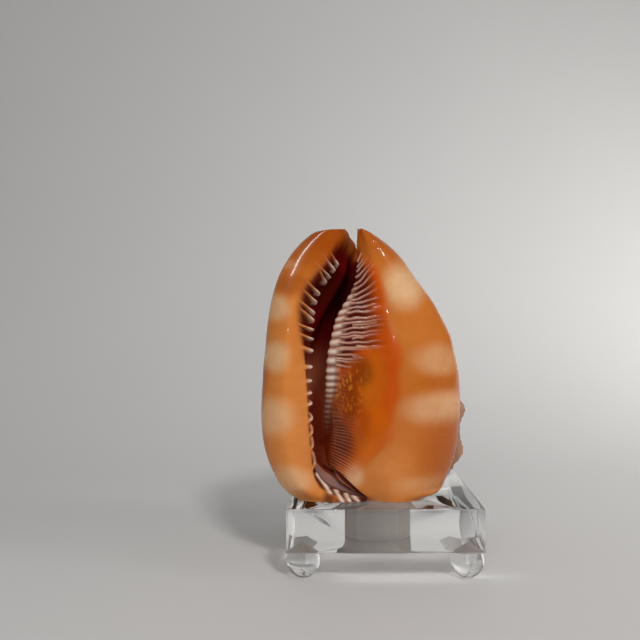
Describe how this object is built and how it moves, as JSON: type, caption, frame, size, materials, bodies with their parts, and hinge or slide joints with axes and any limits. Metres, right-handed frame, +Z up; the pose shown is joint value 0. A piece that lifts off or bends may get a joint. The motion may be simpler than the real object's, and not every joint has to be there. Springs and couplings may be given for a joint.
{
  "type": "red helmet shell on an acrylic display block",
  "caption": "Glossy orange helmet shell with a toothed aperture, standing on its spire in a clear block with ball feet.",
  "frame": {"origin": "on the floor, under the middle of the whole object", "axes": "+Z up, +X to the right as the aperture is seen, +Y away from the viewer, so that the aperture faces -Y"},
  "size_m": [0.0854, 0.0986, 0.1338],
  "materials": {
    "shell": "polished",
    "clear_acrylic": "polished"
  },
  "bodies": {
    "root": {"shell": "shell", "block": "clear_acrylic", "foot_front_left": "clear_acrylic", "foot_front_right": "clear_acrylic", "foot_rear_left": "clear_acrylic", "foot_rear_right": "clear_acrylic"}
  },
  "joints": []
}
